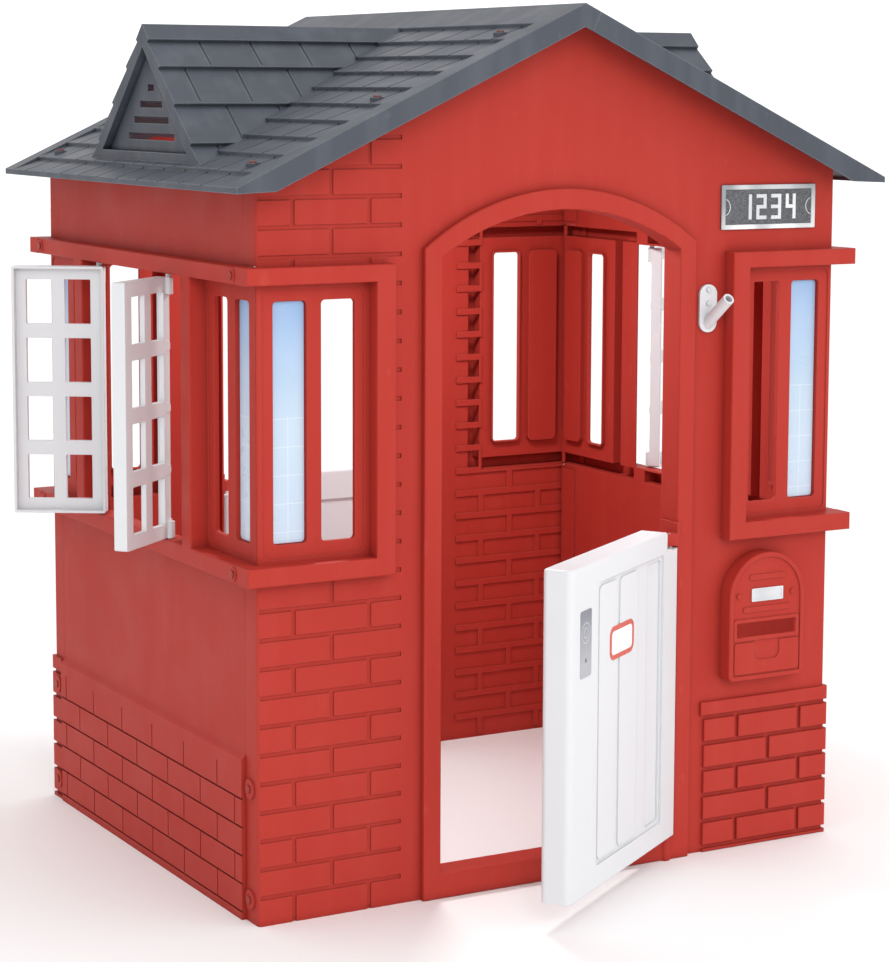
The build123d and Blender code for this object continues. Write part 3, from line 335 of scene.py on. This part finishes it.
red = moulded("red_plastic", base=(0.46, 0.040, 0.028), worn_and_highlight=(0.62, 0.13, 0.095),
              shade=(0.37, 0.022, 0.015), rough=0.55)
slate = moulded("slate_plastic", base=(0.070, 0.078, 0.098), worn_and_highlight=(0.25, 0.27, 0.31),
                shade=(0.048, 0.055, 0.072), rough=0.5, streak=0.12, radius=2.5 * MM, edge_wear_and_highlight=0.9,
                gloss=0.3, groove_painted_shade=1.0, groove=7 * MM)
white = moulded("white_plastic", base=(0.73, 0.74, 0.76), worn_and_highlight=(0.86, 0.86, 0.86),
                shade=(0.66, 0.67, 0.70), rough=0.36, streak=0.02, groove_painted_shade=0.25, grain=0.03, gloss=0.3)
screw_red = moulded("screw_red", base=(0.36, 0.03, 0.02), worn_and_highlight=(0.55, 0.2, 0.17),
                    shade=(0.25, 0.02, 0.014), rough=0.35)
screw_roof = moulded("screw_roof", base=(0.30, 0.10, 0.08), worn_and_highlight=(0.5, 0.3, 0.26),
                     shade=(0.2, 0.06, 0.05), rough=0.4)
screw_white = moulded("screw_white", base=(0.7, 0.7, 0.72), worn_and_highlight=(0.85, 0.85, 0.85),
                      shade=(0.5, 0.5, 0.52), rough=0.35)
front_label = window_label("front_label", "X", top=(0.28, 0.45, 0.72), middle=(0.50, 0.63, 0.76),
                           foot=(0.54, 0.65, 0.78))
side_label = window_label("side_label", "Y", top=(0.28, 0.46, 0.74), middle=(0.56, 0.69, 0.82),
                          foot=(0.60, 0.71, 0.84))
silver = brushed("silver_plastic", base=(0.75, 0.76, 0.78), shade=(0.42, 0.43, 0.45), rough=0.3,
                 metallic=0.6, radius=1 * MM)
bright = brushed("digit_plastic", base=(0.92, 0.92, 0.93), shade=(0.68, 0.69, 0.71), rough=0.25,
                 metallic=0.4, radius=0.8 * MM)
plate = plate_finish("plate_plastic", field_depth=-1.6 * MM)
badge = badge_print("badge_label", wide=87.0, high=48.0, corner=14.0, border=7.0)
lock = lock_print("lock_label", wide=38.0, high=94.0)


def finish_of(name):
    """The material of one CAD node."""
    single = {"number_plate": plate, "number_digits": bright, "mailbox_nameplate": silver,
              "door_badge": badge, "door_lock_label": lock, "flag_holder_screws": screw_white}
    if name in single:
        return single[name]
    families = ((("pane_front", "pane_back"), front_label), (("pane_",), side_label),
                (("corner_screws",), screw_red), (("roof_screws",), screw_roof),
                (("roof_", "gable_vent"), slate))
    for starts, material in families:
        if name.startswith(starts):
            return material
    return red if name.endswith(("_wall", "_bracket")) else white


for name, node in nodes.items():
    if not node.data.materials:
        node.data.materials.append(finish_of(name))
    for slot in node.material_slots:
        slot.material = finish_of(name)


# ---------------------------------------------------------------- small raised details
def round_bead(name, points, radius):
    """A round bead along a path."""
    curve = bpy.data.curves.new(name, "CURVE")
    curve.dimensions = "3D"
    curve.bevel_depth = radius
    curve.bevel_resolution = 2
    curve.use_fill_caps = True
    path = curve.splines.new("POLY")
    path.points.add(len(points) - 1)
    for point, position in zip(path.points, points):
        point.co = (*position, 1)
    bead = bpy.data.objects.new(name, curve)
    bpy.context.scene.collection.objects.link(bead)
    return bead


def plate_arcs():
    """A raised arc at each end of the number plate's field."""
    low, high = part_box("number_plate")
    depth = high[1] - ARC_DEPTH
    middle = (low[2] + high[2]) / 2
    turn = 2 * ARC_HALF_ANGLE / ARC_STEPS
    angles = [math.radians(-ARC_HALF_ANGLE + turn * step) for step in range(ARC_STEPS + 1)]
    for side, end in ((1, low[0] + ARC_INSET), (-1, high[0] - ARC_INSET)):
        points = []
        for angle in angles:
            across = end + side * (ARC_RADIUS * math.cos(angle) - ARC_BOW)
            points.append((across, depth, middle + ARC_RADIUS * math.sin(angle)))
        arc = round_bead("number_plate_arc_left" if side > 0 else "number_plate_arc_right", points, ARC_BEAD)
        arc.data.materials.append(bright)
        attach(arc, "house")


plate_arcs()


# ---------------------------------------------------------------- floor, light and camera
def make_floor():
    """White paper under the house."""
    mesh = bpy.data.meshes.new("floor")
    corners = [(x * FLOOR_HALF, y * FLOOR_HALF, 0) for x, y in ((-1, -1), (1, -1), (1, 1), (-1, 1))]
    mesh.from_pydata(corners, [], [(0, 1, 2, 3)])
    floor = bpy.data.objects.new("floor", mesh)
    bpy.context.scene.collection.objects.link(floor)
    material, tree, shader = new_material("floor_paper")
    shader.inputs["Base Color"].default_value = (0.96, 0.96, 0.96, 1)
    shader.inputs["Roughness"].default_value = 0.8
    shader.inputs["Specular IOR Level"].default_value = 0.1
    mesh.materials.append(material)


def make_sky():
    """White studio whose left side is dimmer."""
    world = bpy.data.worlds.new("studio")
    world.use_nodes = True
    tree = world.node_tree
    coords = add(tree, "ShaderNodeTexCoord")
    split = add(tree, "ShaderNodeSeparateXYZ")
    tree.links.new(coords.outputs["Generated"], split.inputs[0])
    background = tree.nodes["Background"]
    background.inputs[0].default_value = (1, 1, 1, 1)
    tree.links.new(spread(tree, split.outputs["X"], -0.8, -0.05, SKY_DIM, SKY_BRIGHT), background.inputs[1])
    bpy.context.scene.world = world


def area_light(name, position, target, size, energy):
    """A round lamp aimed at a point; size in metres, energy in watts."""
    light = bpy.data.lights.new(name, "AREA")
    light.shape = "DISK"
    light.size = size
    light.energy = energy
    lamp = bpy.data.objects.new(name, light)
    lamp.location = position
    lamp.rotation_euler = (Vector(target) - Vector(position)).to_track_quat("-Z", "Y").to_euler()
    bpy.context.scene.collection.objects.link(lamp)


def make_camera():
    """A long-lens camera in front of the house and to its left, looking slightly down."""
    heading = Vector((math.sin(CAMERA_YAW), math.cos(CAMERA_YAW), 0))
    forward = math.cos(CAMERA_PITCH) * heading - Vector((0, 0, math.sin(CAMERA_PITCH)))
    level = Vector((math.cos(CAMERA_YAW), -math.sin(CAMERA_YAW), 0))
    upright = level.cross(forward)
    right = math.cos(CAMERA_ROLL) * level + math.sin(CAMERA_ROLL) * upright
    up = -math.sin(CAMERA_ROLL) * level + math.cos(CAMERA_ROLL) * upright
    data = bpy.data.cameras.new("camera")
    data.sensor_width = 36
    data.lens = CAMERA_LENS
    data.shift_y = CAMERA_SHIFT
    data.clip_end = 100
    camera = bpy.data.objects.new("camera", data)
    turn = Matrix((right, up, -forward)).transposed().to_4x4()
    camera.matrix_world = Matrix.Translation(CAMERA_PLACE) @ turn
    bpy.context.scene.collection.objects.link(camera)
    bpy.context.scene.camera = camera


make_floor()
make_sky()
area_light("key", position=(-2.2, -4.8, 3.2), target=(0, 0.2, 0.6), size=2.5, energy=75)
area_light("indoor", position=(0, 0.385, 1.12), target=(0, 0.385, 0), size=0.25, energy=6)
make_camera()
bpy.context.scene.view_settings.view_transform = "Standard"
bpy.context.scene.view_settings.look = "None"
